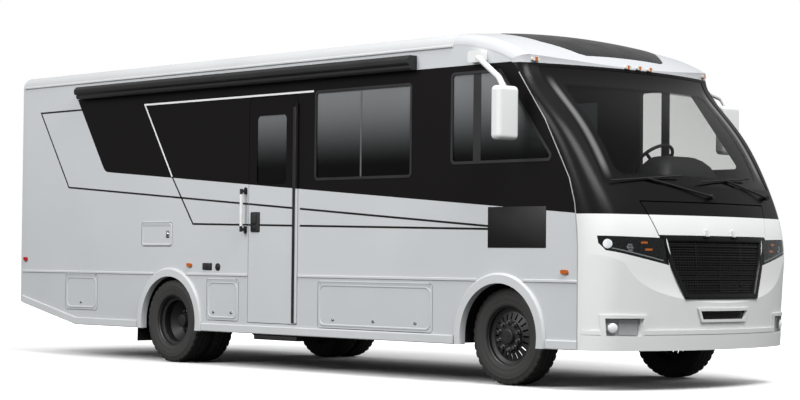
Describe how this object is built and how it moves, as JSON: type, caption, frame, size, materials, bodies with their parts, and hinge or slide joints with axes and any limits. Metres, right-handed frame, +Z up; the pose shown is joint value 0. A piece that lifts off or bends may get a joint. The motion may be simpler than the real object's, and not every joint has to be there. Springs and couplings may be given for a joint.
{
  "type": "motorhome",
  "caption": "Long box-bodied motorhome with a raked wrap-round windshield, moulded front cap, entry door, slide-out step, baggage doors and dual rear wheels.",
  "frame": {"origin": "middle of the whole vehicle's length and width, on the ground", "axes": "+X forward, +Y to the driver's side (the vehicle's left), +Z up; the entry door is on the -Y side"},
  "size_m": [8.6599, 3.14, 3.0808],
  "materials": {
    "panel_grey": "satin",
    "gelcoat_white": "gloss",
    "trim_grey": "satin",
    "window_seal_black": "matte",
    "dome_panel_black": "gloss",
    "windshield_glass": "clear",
    "tinted_glass": "tinted",
    "grille_black": "gloss",
    "lamp_clear": "clear",
    "lamp_amber": "gloss",
    "lamp_red": "gloss",
    "tyre": "matte",
    "wheel_metal": "satin",
    "frame_black": "satin",
    "engine_iron": "matte",
    "exhaust_steel": "satin",
    "flap_rubber": "matte",
    "step_black": "matte",
    "floor_wood": "satin",
    "liner_black": "matte",
    "seat_fabric": "woven",
    "dash_grey": "matte"
  },
  "bodies": {
    "coach_body": {"chassis_frame": "frame_black", "engine_and_gearbox": "engine_iron", "rear_axle": "frame_black", "propeller_shaft": "frame_black", "front_axle": "frame_black", "leaf_springs": "frame_black", "fuel_tank": "frame_black", "exhaust": "exhaust_steel", "baggage_boxes": "liner_black", "right_skirt": "panel_grey", "left_skirt": "panel_grey", "right_wall": "panel_grey", "left_wall": "panel_grey", "window_frames": "window_seal_black", "side_windows": "tinted_glass", "body_floor": "floor_wood", "entry_stairs": "step_black", "roof": "gelcoat_white", "rear_wall": "panel_grey", "rear_bumper": "trim_grey", "tow_receiver": "frame_black", "body_trims": "trim_grey", "mud_flaps": "flap_rubber", "awning_case": "gelcoat_white", "grab_handle": "window_seal_black", "mirrors": "gelcoat_white", "cab_seats": "seat_fabric", "roof_vents": "gelcoat_white", "tail_lamps": "lamp_red", "front_cap": "gelcoat_white", "windshield": "windshield_glass", "grille": "grille_black", "headlamps": "lamp_clear", "front_bumper": "gelcoat_white", "dome_panel": "dome_panel_black", "marker_lamps": "lamp_amber", "wipers": "window_seal_black", "dashboard": "dash_grey"},
    "knuckle_left": {"knuckle_left": "frame_black"},
    "knuckle_right": {"knuckle_right": "frame_black"},
    "front_wheel_left": {"wheel_front_left": "wheel_metal", "tyre_front_left": "tyre"},
    "front_wheel_right": {"wheel_front_right": "wheel_metal", "tyre_front_right": "tyre"},
    "rear_wheels_left": {"wheels_rear_left": "wheel_metal", "tyres_rear_left": "tyre"},
    "rear_wheels_right": {"wheels_rear_right": "wheel_metal", "tyres_rear_right": "tyre"},
    "steering_wheel": {"steering_wheel": "dash_grey"},
    "entry_door": {"entry_door": "panel_grey", "entry_door_glass": "tinted_glass"},
    "entry_step": {"entry_step": "step_black"},
    "front_hood": {"front_hood": "gelcoat_white"},
    "service_hatch": {"service_hatch": "panel_grey"},
    "baggage_door_rear_right": {"baggage_door_rear_right": "panel_grey"},
    "baggage_door_mid_right": {"baggage_door_mid_right": "panel_grey"},
    "baggage_door_long_right": {"baggage_door_long_right": "panel_grey"},
    "baggage_door_rear_left": {"baggage_door_rear_left": "panel_grey"},
    "baggage_door_long_left": {"baggage_door_long_left": "panel_grey"}
  },
  "joints": [
    {"name": "steer_left", "type": "hinge", "parent": "coach_body", "child": "knuckle_left", "pos_m": [2.95, 0.887, 0.406], "axis": [0, 0, 1], "range_deg": [-35, 35]},
    {"name": "steer_right", "type": "hinge", "parent": "coach_body", "child": "knuckle_right", "pos_m": [2.95, -0.887, 0.406], "axis": [0, 0, 1], "range_deg": [-35, 35]},
    {"name": "steering_wheel_turn", "type": "hinge", "parent": "coach_body", "child": "steering_wheel", "pos_m": [3.08, 0.55, 1.91], "axis": [-0.7071, 0, 0.7071], "range_deg": [-560, 560]},
    {"name": "front_wheel_left_spin", "type": "hinge", "parent": "knuckle_left", "child": "front_wheel_left", "pos_m": [2.95, 1.037, 0.406], "axis": [0, 1, 0], "continuous": true},
    {"name": "front_wheel_right_spin", "type": "hinge", "parent": "knuckle_right", "child": "front_wheel_right", "pos_m": [2.95, -1.037, 0.406], "axis": [0, 1, 0], "continuous": true},
    {"name": "rear_wheels_left_spin", "type": "hinge", "parent": "coach_body", "child": "rear_wheels_left", "pos_m": [-1.58, 1, 0.406], "axis": [0, 1, 0], "continuous": true},
    {"name": "rear_wheels_right_spin", "type": "hinge", "parent": "coach_body", "child": "rear_wheels_right", "pos_m": [-1.58, -1, 0.406], "axis": [0, 1, 0], "continuous": true},
    {"name": "entry_door_swing", "type": "hinge", "parent": "coach_body", "child": "entry_door", "pos_m": [0.356, -1.2443, 1.5], "axis": [0, 0, 1], "range_deg": [0, 100]},
    {"name": "entry_step_slide", "type": "slide", "parent": "coach_body", "child": "entry_step", "axis": [0, -1, 0], "range_m": [0, 0.28]},
    {"name": "front_hood_tilt", "type": "hinge", "parent": "coach_body", "child": "front_hood", "pos_m": [4.27304, 0, 1.234], "axis": [0, 1, 0], "range_deg": [0, 80]},
    {"name": "service_hatch_lift", "type": "hinge", "parent": "coach_body", "child": "service_hatch", "pos_m": [-1.8, -1.2403, 1.382], "axis": [-1, 0, 0], "range_deg": [0, 85]},
    {"name": "baggage_door_rear_right_lift", "type": "hinge", "parent": "coach_body", "child": "baggage_door_rear_right", "pos_m": [-3.12, -1.2403, 0.848], "axis": [-1, 0, 0], "range_deg": [0, 85]},
    {"name": "baggage_door_mid_right_lift", "type": "hinge", "parent": "coach_body", "child": "baggage_door_mid_right", "pos_m": [-0.744, -1.2403, 0.829], "axis": [-1, 0, 0], "range_deg": [0, 85]},
    {"name": "baggage_door_long_right_lift", "type": "hinge", "parent": "coach_body", "child": "baggage_door_long_right", "pos_m": [1.403, -1.2403, 0.829], "axis": [-1, 0, 0], "range_deg": [0, 85]},
    {"name": "baggage_door_rear_left_lift", "type": "hinge", "parent": "coach_body", "child": "baggage_door_rear_left", "pos_m": [-3.12, 1.2403, 0.848], "axis": [1, 0, 0], "range_deg": [0, 85]},
    {"name": "baggage_door_long_left_lift", "type": "hinge", "parent": "coach_body", "child": "baggage_door_long_left", "pos_m": [1.403, 1.2403, 0.829], "axis": [1, 0, 0], "range_deg": [0, 85]}
  ],
  "couplings": [
    {"joint": "steer_right", "follows": "steer_left", "ratio": 1},
    {"joint": "steering_wheel_turn", "follows": "steer_left", "ratio": 16}
  ]
}
